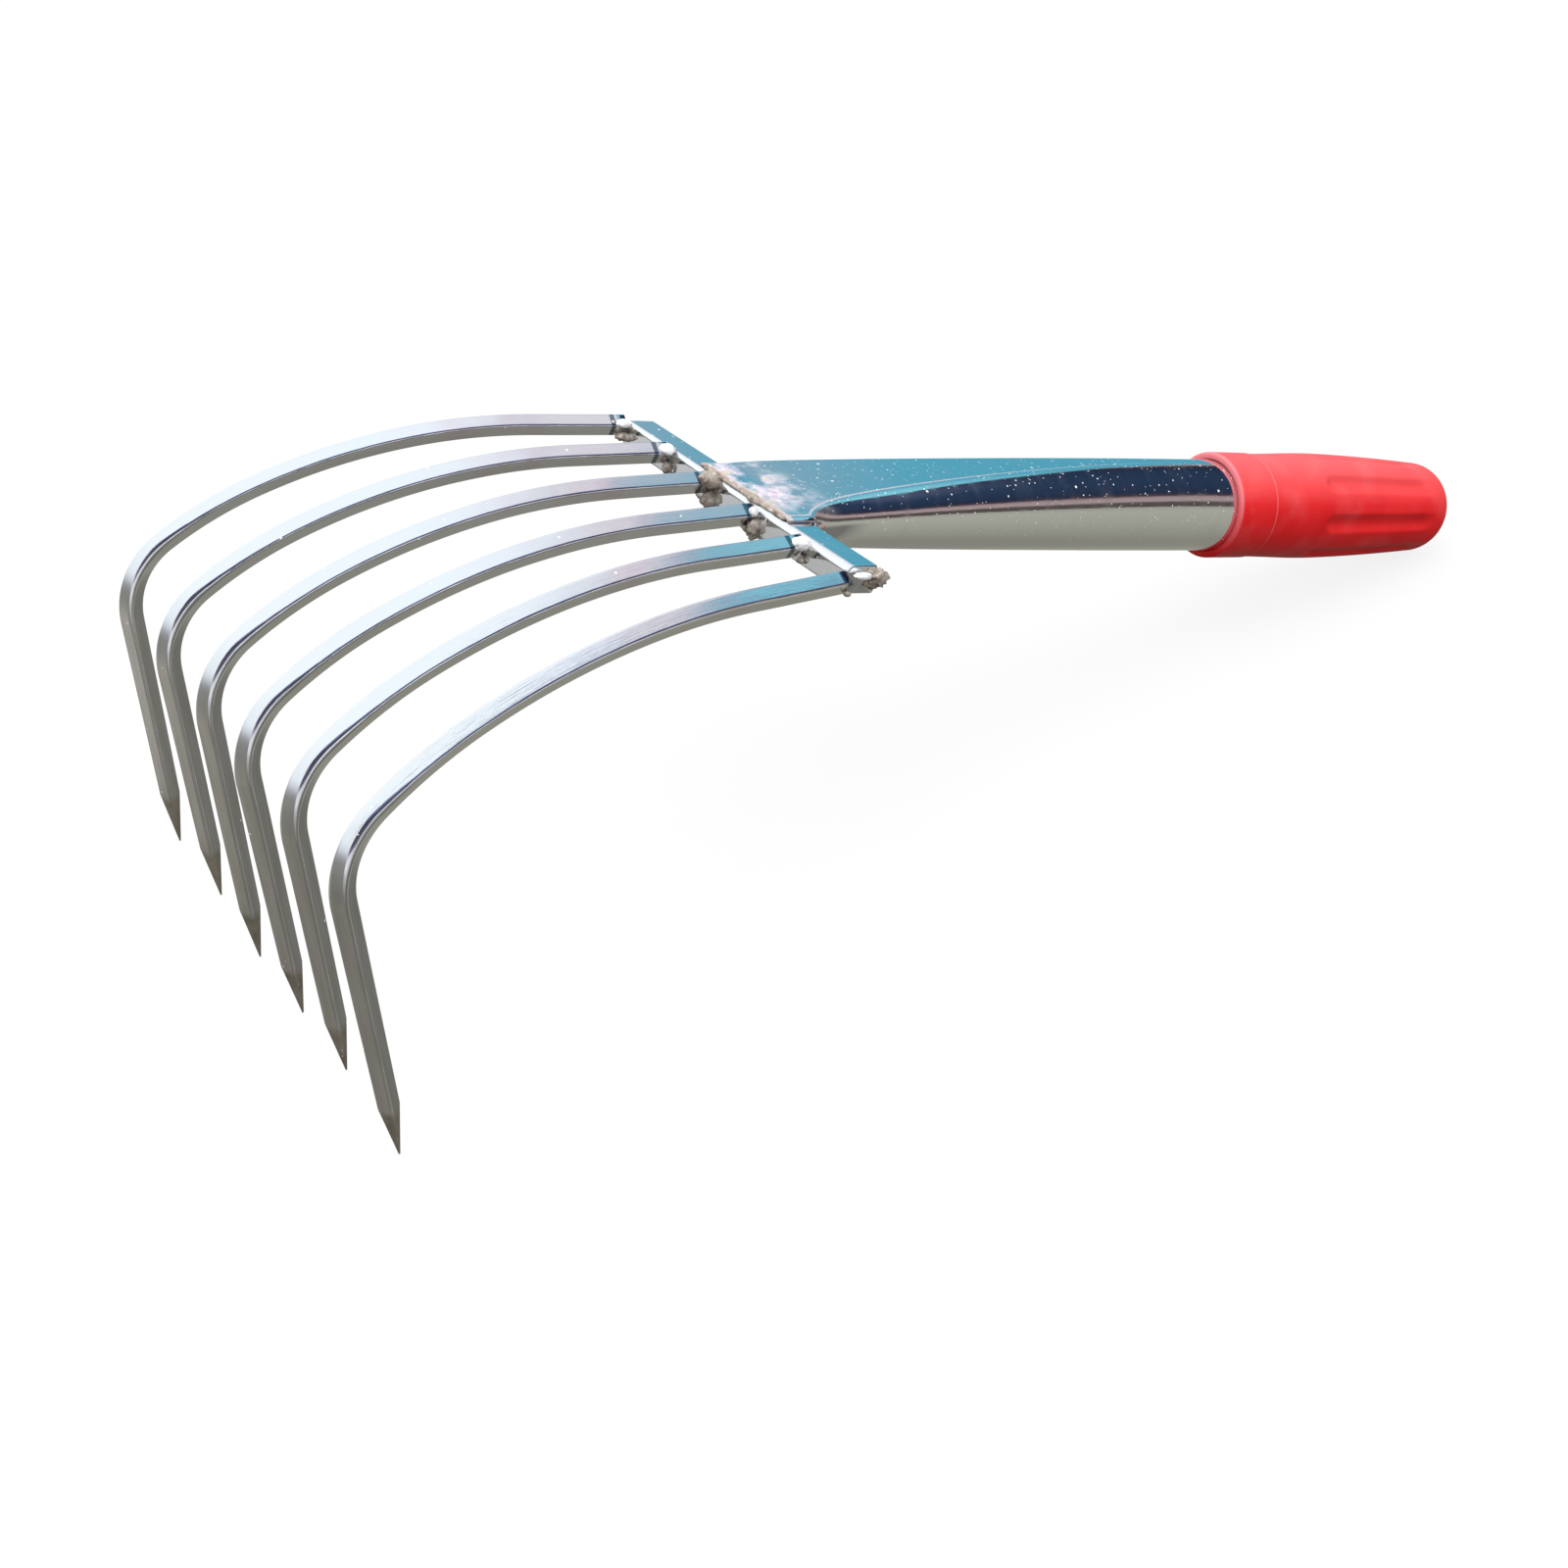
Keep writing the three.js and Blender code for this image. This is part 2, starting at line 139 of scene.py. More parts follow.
def piece(name, points, faces, material, node):
    """A smooth-shaded mesh piece that stands for one CAD node and remembers each point's bench place."""
    mesh = bpy.data.meshes.new(name)
    bench_places = np.asarray(points) * MM
    mesh.from_pydata([tuple(BENCH @ Vector(p)) for p in bench_places], [], faces)
    layer = mesh.attributes.new("bench", "FLOAT_VECTOR", "POINT")
    layer.data.foreach_set("vector", bench_places.astype(np.float32).ravel())
    mesh.validate()
    mesh.polygons.foreach_set("use_smooth", [True] * len(mesh.polygons))
    mesh.materials.append(material)
    thing = bpy.data.objects.new(name, mesh)
    bpy.context.scene.collection.objects.link(thing)
    weighted = thing.modifiers.new("flat_faces", "WEIGHTED_NORMAL")
    weighted.keep_sharp = True
    weighted.weight = 100
    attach(thing, "root")
    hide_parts(node)
    return thing


def float_layer(thing, name, values):
    layer = thing.data.attributes.new(name, "FLOAT", "POINT")
    layer.data.foreach_set("value", np.asarray(values, np.float32))


def skin(rings):
    """Quads between closed rings, with a fan of triangles over each end."""
    count = len(rings[0])
    points = [p for ring in rings for p in ring]
    faces = []
    for level in range(len(rings) - 1):
        for i in range(count):
            a = level * count + i
            b = level * count + (i + 1) % count
            faces.append((a, b, b + count, a + count))
    for level, flip in ((0, True), (len(rings) - 1, False)):
        middle = len(points)
        points.append(np.mean(rings[level], axis=0))
        for i in range(count):
            a = level * count + i
            b = level * count + (i + 1) % count
            faces.append((b, a, middle) if flip else (a, b, middle))
    return points, faces


def rounded_rectangle(width, height, radii, steps=4):
    """Corner arcs joined by straight sides, counter-clockwise from the corner where both are positive."""
    points = []
    for quarter, (sx, sy) in enumerate(((1, 1), (-1, 1), (-1, -1), (1, -1))):
        radius = radii[quarter]
        cx = sx * (width / 2 - radius)
        cy = sy * (height / 2 - radius)
        for step in range(steps + 1):
            angle = (quarter + step / steps) * math.pi / 2
            points.append((cx + radius * math.cos(angle), cy + radius * math.sin(angle)))
    return np.array(points)


def wobble(position, scale, seed):
    """Smooth noise between about -1 and 1 at a bench position."""
    return noise.noise(Vector(position) * scale + Vector((seed * 7.3, seed * 3.1, seed * 5.7)))


# ---------- shader helper ----------


class Look:
    """A node material with short calls for the nodes it uses.

    Its textures follow a mesh layer of places in metres: the bench places, or another layer.
    """

    def __init__(self, name, places="bench"):
        self.places = places
        self.material = bpy.data.materials.new(name)
        self.material.use_nodes = True
        self.nodes = self.material.node_tree.nodes
        self.links = self.material.node_tree.links
        self.nodes.clear()
        self.output = self.nodes.new("ShaderNodeOutputMaterial")

    def feed(self, socket, value):
        if isinstance(value, bpy.types.NodeSocket):
            self.links.new(value, socket)
        else:
            socket.default_value = value

    def math(self, operation, a, b=0.0):
        node = self.nodes.new("ShaderNodeMath")
        node.operation = operation
        self.feed(node.inputs[0], a)
        self.feed(node.inputs[1], b)
        return node.outputs[0]

    def place(self, stretch=(1, 1, 1)):
        """The place of the shaded point, stretched along each axis."""
        mapping = self.nodes.new("ShaderNodeMapping")
        mapping.inputs["Scale"].default_value = stretch
        self.links.new(self.attribute(self.places, "Vector"), mapping.inputs["Vector"])
        return mapping.outputs["Vector"]

    def axis(self, index):
        split = self.nodes.new("ShaderNodeSeparateXYZ")
        self.links.new(self.attribute("bench", "Vector"), split.inputs[0])
        return split.outputs[index]

    def noise(self, scale, detail, stretch=(1, 1, 1)):
        node = self.nodes.new("ShaderNodeTexNoise")
        node.inputs["Scale"].default_value = scale
        node.inputs["Detail"].default_value = detail
        self.links.new(self.place(stretch), node.inputs["Vector"])
        return node.outputs["Fac"]

    def specks(self, scale, size, share):
        """Small dots: 1 inside a dot. Only a share of the cells carry one."""
        node = self.nodes.new("ShaderNodeTexVoronoi")
        node.inputs["Scale"].default_value = scale
        self.links.new(self.place(), node.inputs["Vector"])
        split = self.nodes.new("ShaderNodeSeparateColor")
        self.links.new(node.outputs["Color"], split.inputs[0])
        dot = self.math("LESS_THAN", node.outputs["Distance"], size)
        chosen = self.math("LESS_THAN", split.outputs[0], share)
        return self.math("MULTIPLY", dot, chosen)

    def attribute(self, name, output="Fac"):
        node = self.nodes.new("ShaderNodeAttribute")
        node.attribute_name = name
        return node.outputs[output]

    def ramp(self, value, stops):
        """A colour ramp from (position, colour) pairs."""
        node = self.nodes.new("ShaderNodeValToRGB")
        elements = node.color_ramp.elements
        while len(elements) < len(stops):
            elements.new(0.5)
        for element, (position, colour) in zip(elements, stops):
            element.position = position
            element.color = (*colour, 1.0)
        self.feed(node.inputs[0], value)
        return node.outputs[0]

    def fade(self, value, start, end):
        """0 at start and 1 at end, in a straight line between them. Start may be the larger."""
        node = self.nodes.new("ShaderNodeMapRange")
        node.inputs["From Min"].default_value = start
        node.inputs["From Max"].default_value = end
        self.feed(node.inputs["Value"], value)
        return node.outputs[0]

    def mix(self, share, a, b):
        node = self.nodes.new("ShaderNodeMix")
        node.data_type = "RGBA"
        self.feed(node.inputs["Factor"], share)
        for key, value in ((6, a), (7, b)):
            if isinstance(value, tuple):
                value = (*value, 1.0)
            self.feed(node.inputs[key], value)
        return node.outputs[2]

    def bump(self, height, strength, distance, below=None):
        node = self.nodes.new("ShaderNodeBump")
        node.inputs["Strength"].default_value = strength
        node.inputs["Distance"].default_value = distance
        self.feed(node.inputs["Height"], height)
        if below is not None:
            self.links.new(below, node.inputs["Normal"])
        return node.outputs[0]

    def surface(self, **inputs):
        shader = self.nodes.new("ShaderNodeBsdfPrincipled")
        for name, value in inputs.items():
            socket = shader.inputs[name.replace("_", " ")]
            if isinstance(value, tuple) and socket.type == "RGBA":
                value = (*value, 1.0)
            self.feed(socket, value)
        self.links.new(shader.outputs[0], self.output.inputs[0])
        return self.material


# ---------- materials ----------

STEEL = (0.90, 0.91, 0.92)
DUST = (0.86, 0.85, 0.82)


def dust_layers(look):
    """Fine specks and a few larger crumbs."""
    fine = look.specks(820.0, 0.24, 0.05)
    coarse = look.specks(430.0, 0.20, 0.03)
    return look.math("MAXIMUM", fine, coarse)


def bar_look():
    """Polished square bar: drawn streaks along its length, heat marks near the crossbar, a painted shade
    line by the weld, ground points.
    """
    look = Look("polished_bar", "bar_place")
    along = look.attribute("along")
    streaks = look.noise(60.0, 5.0, (1.5, 60, 60))
    blotches = look.noise(75.0, 3.0)
    heat_place = look.math("MULTIPLY", look.fade(along, 0.020, 0.042), look.fade(along, 0.085, 0.050))
    heat_share = look.math("MULTIPLY", heat_place, look.fade(blotches, 0.44, 0.62))
    colour = look.mix(look.math("MULTIPLY", heat_share, 0.55), STEEL, (0.88, 0.74, 0.80))
    # A thin dark ring round the bar near the weld: painted shade, standing in for the shadow in the
    # undercut.
    ring = look.fade(look.math("ABSOLUTE", look.attribute("from_shade_line")), 0.0010, 0.0006)
    colour = look.mix(look.math("MULTIPLY", ring, 0.8), colour, (0.03, 0.09, 0.15))
    ground = look.attribute("ground")
    ground_tone = look.ramp(look.noise(200.0, 3.0), ((0.3, (0.36, 0.33, 0.28)), (0.7, (0.60, 0.56, 0.49))))
    colour = look.mix(ground, colour, ground_tone)
    leg = look.fade(along, 0.165, 0.185)
    grime = look.math("MULTIPLY", leg, look.fade(look.noise(90.0, 5.0, (0.5, 5, 5)), 0.40, 0.75))
    colour = look.mix(look.math("MULTIPLY", grime, 0.40), colour, (0.56, 0.52, 0.45))
    dust = look.specks(430.0, 0.17, 0.05)
    colour = look.mix(dust, colour, DUST)
    rough = look.math("ADD", look.math("MULTIPLY", streaks, 0.12), 0.02)
    rough = look.math("ADD", rough, look.math("MULTIPLY", ground, 0.25))
    rough = look.math("ADD", rough, look.math("MULTIPLY", leg, 0.10))
    metal = look.math("SUBTRACT", 1.0, dust)
    fine = look.bump(streaks, 0.12, 0.0003)
    waves = look.bump(look.noise(35.0, 2.0), 0.12, 0.0012, fine)
    return look.surface(Base_Color=colour, Metallic=metal, Roughness=rough, Normal=waves)


def crossbar_look():
    """The same polished steel, smudged and speckled with spatter near the welds."""
    look = Look("polished_crossbar")
    x = look.axis(0)
    smudges = look.noise(70.0, 4.0)
    spatter = look.specks(380.0, 0.22, 0.10)
    back_edge = look.fade(x, 0.0078, 0.0098)
    spatter = look.math("MULTIPLY", spatter, look.math("ADD", look.math("MULTIPLY", back_edge, 0.8), 0.2))
    colour = look.mix(spatter, STEEL, (0.30, 0.52, 0.80))
    dust = dust_layers(look)
    colour = look.mix(dust, colour, DUST)
    rough = look.math("ADD", look.math("MULTIPLY", look.fade(smudges, 0.45, 0.75), 0.20), 0.03)
    metal = look.math("SUBTRACT", 1.0, dust)
    waves = look.bump(smudges, 0.10, 0.0010)
    return look.surface(Base_Color=colour, Metallic=metal, Roughness=rough, Normal=waves)


def tube_look():
    """Mirror-polished tube: smudges, fine scratches, dust, and heat colours around the mouth."""
    look = Look("polished_tube")
    x = look.axis(0)
    y = look.axis(1)
    z = look.axis(2)
    smudges = look.noise(55.0, 4.0, (3.0, 1, 1))
    scratches = look.noise(160.0, 3.0, (1, 14, 14))
    cloud = look.noise(120.0, 3.0)
    # The heat film is a chalky layer over the metal, on the lip and a little way behind it.
    near = look.math("MULTIPLY", look.fade(x, 0.026, 0.012), look.fade(y, -0.030, -0.016))
    near = look.math("MULTIPLY", near, look.fade(z, 0.003, 0.005))
    film_share = look.math("MULTIPLY", look.fade(cloud, 0.44, 0.60), near)
    tints = look.ramp(
        look.noise(150.0, 2.0),
        (
            (0.36, (0.50, 0.58, 0.72)),
            (0.45, (0.62, 0.48, 0.60)),
            (0.54, (0.80, 0.74, 0.82)),
            (0.62, (0.60, 0.46, 0.56)),
            (0.70, (0.78, 0.70, 0.38)),
        ),
    )
    colour = look.mix(film_share, STEEL, tints)
    crease = look.math("MULTIPLY", look.fade(look.attribute("crease"), 0.60, 0.90), look.fade(x, 0.19, 0.05))
    colour = look.mix(look.math("MULTIPLY", crease, 0.75), colour, (0.58, 0.42, 0.48))
    lip = look.math("MULTIPLY", look.fade(x, 0.0032, 0.0024), look.fade(look.noise(240.0, 2.0), 0.35, 0.5))
    colour = look.mix(lip, colour, (0.52, 0.40, 0.36))
    dust = look.math("MAXIMUM", dust_layers(look), look.specks(1300.0, 0.22, 0.08))
    colour = look.mix(dust, colour, DUST)
    rough = look.math("MULTIPLY", look.fade(smudges, 0.42, 0.75), 0.20)
    film = look.math("MAXIMUM", look.math("MAXIMUM", film_share, lip), look.math("MULTIPLY", crease, 0.8))
    rough = look.math("ADD", rough, look.math("MULTIPLY", film, 0.35))
    rough = look.math("ADD", rough, 0.015)
    metal = look.math("SUBTRACT", 1.0, look.math("MAXIMUM", dust, look.math("MULTIPLY", film, 0.8)))
    fine = look.bump(scratches, 0.04, 0.0002)
    dents = look.bump(look.noise(22.0, 2.0), 0.08, 0.002, fine)
    return look.surface(Base_Color=colour, Metallic=metal, Roughness=rough, Normal=dents)


def bright_weld_look():
    look = Look("bright_weld")
    grain = look.noise(900.0, 4.0)
    colour = look.ramp(
        look.noise(300.0, 3.0),
        (
            (0.30, (0.55, 0.60, 0.68)),
            (0.46, (0.92, 0.92, 0.94)),
            (0.70, (1.0, 0.98, 0.96)),
        ),
    )
    rough = look.math("ADD", look.math("MULTIPLY", grain, 0.25), 0.32)
    return look.surface(
        Base_Color=colour, Metallic=0.15, Roughness=rough, Normal=look.bump(grain, 0.5, 0.0003)
    )


def brown_weld_look():
    look = Look("brown_weld")
    grain = look.noise(700.0, 5.0)
    colour = look.ramp(
        look.noise(420.0, 4.0),
        (
            (0.30, (0.17, 0.135, 0.11)),
            (0.42, (0.34, 0.285, 0.235)),
            (0.56, (0.47, 0.41, 0.35)),
            (0.66, (0.62, 0.56, 0.50)),
            (0.74, (0.86, 0.82, 0.78)),
        ),
    )
    rough = look.math("ADD", look.math("MULTIPLY", grain, 0.4), 0.3)
    return look.surface(
        Base_Color=colour, Metallic=0.15, Roughness=rough, Normal=look.bump(grain, 0.6, 0.0004)
    )


def red_plastic_look():
    look = Look("red_plastic")
    grain = look.noise(1400.0, 3.0)
    tone = look.noise(60.0, 4.0)
    scuffs = look.noise(120.0, 6.0, (0.3, 1, 1))
    colour = look.ramp(tone, ((0.3, (0.84, 0.010, 0.014)), (0.7, (0.96, 0.024, 0.028))))
    # Pale pink blotches over the red: a painted highlight haze, standing in for smudgy highlights on the
    # plastic.
    highlight_blotches = look.math("MULTIPLY", look.fade(look.noise(75.0, 5.0), 0.50, 0.75), 0.10)
    colour = look.mix(highlight_blotches, colour, (1.0, 0.45, 0.48))
    x = look.axis(0)
    z = look.axis(2)
    # Pinker towards the top of the grip: a painted highlight where the light falls from above.
    painted_top_highlight = look.math("MULTIPLY", look.fade(z, 0.006, 0.018), 0.22)
    colour = look.mix(painted_top_highlight, colour, (1.0, 0.42, 0.44))
    # The grip's front rim is painted pink, most on its upper part: a painted highlight.
    rim = look.math("MULTIPLY", look.fade(x, 0.2006, 0.1996), look.fade(z, -0.014, 0.008))
    rim = look.math("MULTIPLY", rim, 0.5)
    colour = look.mix(rim, colour, (1.0, 0.38, 0.42))
    # A thin pale line round the collar step: a painted highlight on its edge.
    step = look.math("MULTIPLY", look.fade(x, 0.2160, 0.2163), look.fade(x, 0.2171, 0.2166))
    colour = look.mix(look.math("MULTIPLY", step, 0.5), colour, (1.0, 0.45, 0.42))
    rough = look.math("ADD", look.math("MULTIPLY", scuffs, 0.25), 0.32)
    return look.surface(
        Base_Color=colour,
        Roughness=rough,
        Specular_IOR_Level=0.22,
        Normal=look.bump(grain, 0.12, 0.0002),
    )


# ---------- tines ----------


def tine_stations(number):
    """The bar's centreline as (forward, height, heading, distance, scale), walked from the crossbar."""
    leg = TINE_LEG[number - 1] - POINT_LENGTH
    runs = (
        (NECK_LENGTH, 0.0, 10, 1.0, 1.0),
        (BACK_RADIUS * BACK_TURN, BACK_TURN, 36, 1.0, 1.0),
        (EASE_RADIUS * EASE_TURN, EASE_TURN, 16, 1.0, 1.0),
        (KNEE_RADIUS * KNEE_TURN, KNEE_TURN, 38, 1.0, LEG_SWELL),
        (leg, 0.0, 12, LEG_SWELL, LEG_TAPER),
        (POINT_LENGTH, 0.0, 6, LEG_TAPER, POINT_BLUNT),
    )
    forward = height = distance = 0.0
    heading = -math.radians(TINE_DIP[number - 1])
    stations = [(forward, height, heading, distance, 1.0)]
    for length, turn, steps, first_scale, last_scale in runs:
        bend = turn / steps
        arc = length / steps
        chord = arc * math.sin(bend / 2) / (bend / 2) if bend else arc
        for step in range(steps):
            forward += chord * math.cos(heading - bend / 2)
            height += chord * math.sin(heading - bend / 2)
            heading -= bend
            distance += arc
            scale = first_scale + (last_scale - first_scale) * (step + 1) / steps
            stations.append((forward, height, heading, distance, scale))
    return stations


def rolled(section, angle):
    """A section turned about its middle, so that its top tilts towards -Y."""
    return [
        (a * math.cos(angle) - b * math.sin(angle), a * math.sin(angle) + b * math.cos(angle))
        for a, b in section
    ]


def build_tine(number, material):
    splay = math.radians(TINE_SPLAY[number - 1])
    ahead = np.array((-math.cos(splay), math.sin(splay), 0.0))
    side = np.array((math.sin(splay), math.cos(splay), 0.0))
    up = np.array((0.0, 0.0, 1.0))
    base = np.array((-TINE_START, TINE_ACROSS[number - 1], TINE_HEIGHT[number - 1]))
    rings, along, ground, bar_places = [], [], [], []
    for forward, height, heading, distance, scale in tine_stations(number):
        centre = base + forward * ahead + height * up
        normal = -math.sin(heading) * ahead + math.cos(heading) * up
        uneven = BAR_UNEVENNESS * wobble((distance, number * 40.0, 0.0), 0.03, 3)
        knee_share = math.exp(-(((distance - KNEE_MIDDLE) / KNEE_REACH) ** 2))
        near_corner = TINE_EDGE + (KNEE_EDGE - TINE_EDGE) * knee_share
        corners = (TINE_EDGE, near_corner, TINE_EDGE, TINE_EDGE)
        square = rounded_rectangle(TINE_SIZE, TINE_SIZE, corners, 6)
        section = rolled(square, TINE_ROLL)
        rings.append([centre + scale * (a * side + (b + uneven) * normal) for a, b in section])
        along += [distance * MM] * len(section)
        ground += [1.0 if scale < LEG_TAPER - 0.001 else 0.0] * len(section)
        bar_places += [(distance * MM, a * MM + number, b * MM) for a, b in square]
    points, faces = skin(rings)
    thing = piece(f"tine_{number}_bar", points, faces, material, f"tine_{number}")
    # The last two points are the middles of the two ends.
    along += [0.0, max(along)]
    ground += [0.0, 1.0]
    bar_places += [bar_places[0], bar_places[-1]]
    float_layer(thing, "along", along)
    float_layer(thing, "ground", ground)
    float_layer(thing, "from_shade_line", np.array(along) - SHADE_LINE_PLACE[number - 1] * MM)
    layer = thing.data.attributes.new("bar_place", "FLOAT_VECTOR", "POINT")
    layer.data.foreach_set("vector", np.array(bar_places, np.float32).ravel())


# ---------- crossbar ----------


def build_crossbar(material):
    """The front top edge is worn rounder than the others, most of all towards the -Y end."""
    half = CROSSBAR_LENGTH / 2
    places = [(-half, 0.90), (-half + 0.3, 0.97), (-half + 0.8, 1.0)]
    places += [(y, 1.0) for y in np.linspace(-half + 0.8, half - 0.8, 90)[1:-1]]
    places += [(half - 0.8, 1.0), (half - 0.3, 0.97), (half, 0.90)]
    rings = []
    for y, scale in places:
        front_top = 1.9 - 0.5 * y / half + 0.25 * wobble((0.0, y, 0.0), 0.12, 2)
        section = rounded_rectangle(CROSSBAR_DEPTH, CROSSBAR_HEIGHT, (0.8, front_top, 0.9, 0.9), 7)
        rings.append([(CROSSBAR_DEPTH / 2 + scale * a, y, scale * b) for a, b in section])
    points, faces = skin([ring[::-1] for ring in rings])
    piece("crossbar_bar", points, faces, material, "crossbar")


# ---------- handle tube ----------


def pressed_section(x):
    """Half height, half width of the flat top, place of the middle, and sag of the pressed tube at x."""
    share = min(max((x - CROSSBAR_DEPTH) / PRESS_LENGTH, 0.0), 1.0)
    openness = 1 - (1 - share) ** PRESS_POWER
    half_height = MOUTH_HALF_HEIGHT + (TUBE_RADIUS - MOUTH_HALF_HEIGHT) * openness
    behind = max(x - CROSSBAR_DEPTH, 0.0)
    spread = math.exp(-behind / MOUTH_SPREAD)
    mouth_extra = MOUTH_HALF_WIDTH - MOUTH_HALF_HEIGHT - PRESS_WIDENING * (TUBE_RADIUS - MOUTH_HALF_HEIGHT)
    half_flat = PRESS_WIDENING * (TUBE_RADIUS - half_height) + mouth_extra * spread
    reach = behind / BELLY_REACH
    sag = BELLY_DROP * reach * math.exp(1 - reach)
    return half_height, max(half_flat, 0.3), -MOUTH_SHIFT * spread, sag


FLAT_STEPS = 14
ROUND_STEPS = 30
LIP_CLEARANCE = 0.5  # the lips are what is left of the tube this far above and below the crossbar


def tube_column(x, inset, column):
    """One point of the tube's rim: flats on top and below, half rounds at the sides."""
    half_height, half_flat, middle, sag = pressed_section(x)
    radius = half_height - inset
    half = FLAT_STEPS + ROUND_STEPS
    below = column >= half
    local = column - half if below else column
    if local < FLAT_STEPS:
        y = half_flat - 2 * half_flat * local / FLAT_STEPS
        z = radius
    else:
        angle = math.pi * (local - FLAT_STEPS) / ROUND_STEPS
        y = -half_flat - radius * math.sin(angle)
        z = radius * math.cos(angle)
    if below:
        y, z = -y, -z
    if z < 0:
        z *= 1 + sag / radius
    return (x, middle + y, z)


def build_tube(material):
    """The tube as a shell: a grid of rim columns by stations, with the sides cut away at the mouth."""
    mouth = CROSSBAR_DEPTH + JOINT_GAP
    press_end = CROSSBAR_DEPTH + PRESS_LENGTH
    stations = list(np.linspace(LIP_START, mouth, 5))
    stations += list(np.linspace(mouth, 60, 26)[1:])
    stations += list(np.linspace(60, press_end, 56)[1:])
    stations += list(np.linspace(press_end, TUBE_END, 12)[1:])
    columns = 2 * (FLAT_STEPS + ROUND_STEPS)
    lip_edge = CROSSBAR_HEIGHT / 2 + LIP_CLEARANCE
    points, faces = [], []
    for inset in (0.0, TUBE_WALL):
        for x in stations:
            points += [tube_column(x, inset, column) for column in range(columns)]
    layer = len(stations) * columns

    def present(level, column):
        """Whether the cell between level and level + 1, column and column + 1, is metal."""
        if level < 0 or level >= len(stations) - 1:
            return False
        if stations[level] >= mouth - 1e-6:
            return True
        corners = [tube_column(stations[level], 0.0, c % columns) for c in (column, column + 1)]
        return all(abs(z) > lip_edge for _, _, z in corners)

    for level in range(len(stations) - 1):
        for column in range(columns):
            if not present(level, column):
                continue
            a = level * columns + column
            b = level * columns + (column + 1) % columns
            c = b + columns
            d = a + columns
            faces.append((a, b, c, d))
            faces.append((layer + d, layer + c, layer + b, layer + a))
            if not present(level - 1, column):
                faces.append((b, a, layer + a, layer + b))
            if not present(level + 1, column):
                faces.append((d, c, layer + c, layer + d))
            if not present(level, (column - 1) % columns):
                faces.append((a, d, layer + d, layer + a))
            if not present(level, (column + 1) % columns):
                faces.append((c, b, layer + b, layer + c))
    used = sorted({index for face in faces for index in face})
    renumber = {old: new for new, old in enumerate(used)}
    faces = [tuple(renumber[index] for index in face) for face in faces]
    shell = [points[index] for index in used]
    thing = piece("handle_tube_shell", shell, faces, material, "handle_tube")
    float_layer(thing, "crease", [1.0 if index % columns == FLAT_STEPS else 0.0 for index in used])


# ---------- grip ----------


def grip_outline(x):
    """Radius of the grip's body behind the collar, before the flutes are pressed in."""
    body = GRIP_RADIUS - COLLAR_STEP
    full = GRIP_RADIUS + GRIP_SWELL
    if x < GRIP_FULL:
        share = smooth((x - COLLAR_END) / (GRIP_FULL - COLLAR_END))
        return body + (full - body) * share
    share = (x - GRIP_FULL) / (GRIP_END - GRIP_END_ROUND - GRIP_FULL)
    return full - (full - GRIP_TAPER_RADIUS) * share**GRIP_TAPER_POWER


def smooth(share):
    share = min(max(share, 0.0), 1.0)
    return share * share * (3 - 2 * share)


def flute_cut(x, angle):
    """Depth of the nearest flute at a point of the grip: rounded where it starts, fading at its end."""
    step = 2 * math.pi / FLUTE_COUNT
    offset = (angle - FLUTE_TURN + step / 2) % step - step / 2
    distance = abs(offset) * GRIP_RADIUS / FLUTE_HALF_WIDTH
    if distance > 1:
        return 0.0
    entry = smooth((x - FLUTE_START - 1.5 * distance) / 4.0)
    leave = smooth((FLUTE_END - x) / 12.0)
    return FLUTE_DEPTH * entry * leave * (1 - distance**2) ** 1.5


def build_grip(material):
    sides = 224
    lip = 1.0
    round_start = GRIP_END - GRIP_END_ROUND
    bore = TUBE_RADIUS + GRIP_BORE_GAP
    rows = [(TUBE_END + 0.3, 2.0), (TUBE_END + 0.3, bore), (GRIP_START + 30, bore), (GRIP_START + 0.5, bore)]
    rows.append((GRIP_START, bore + 0.5))
    for step in range(7):
        angle = step / 6 * math.pi / 2
        rows.append((GRIP_START + lip * (1 - math.cos(angle)), GRIP_RADIUS - lip * (1 - math.sin(angle))))
    rows += [(x, GRIP_RADIUS) for x in np.linspace(GRIP_START + 2, COLLAR_END - 0.3, 10)]
    rows += [(COLLAR_END, GRIP_RADIUS - 0.05), (COLLAR_END + 0.2, GRIP_RADIUS - 0.4)]
    rows += [(COLLAR_END + 0.45, GRIP_RADIUS - 0.5), (COLLAR_END + 0.8, GRIP_RADIUS - COLLAR_STEP)]
    rows += [(x, grip_outline(x)) for x in np.linspace(COLLAR_END + 1.6, round_start, 90)]
    for step in range(1, 25):
        angle = step / 24 * math.pi / 2
        radius = GRIP_TAPER_RADIUS - GRIP_END_ROUND * (1 - math.cos(angle))
        rows.append((round_start + GRIP_END_ROUND * math.sin(angle), radius))
    rings = []
    for number, (x, radius) in enumerate(rows):
        ring = []
        for i in range(sides):
            angle = 2 * math.pi * i / sides
            r = radius - (flute_cut(x, angle) if number > 5 else 0.0)
            ring.append((x, -r * math.cos(angle), r * math.sin(angle)))
        rings.append(ring[::-1])
    points, faces = skin(rings)
    piece("end_grip_moulding", points, faces, material, "end_grip")


# ---------- welds ----------


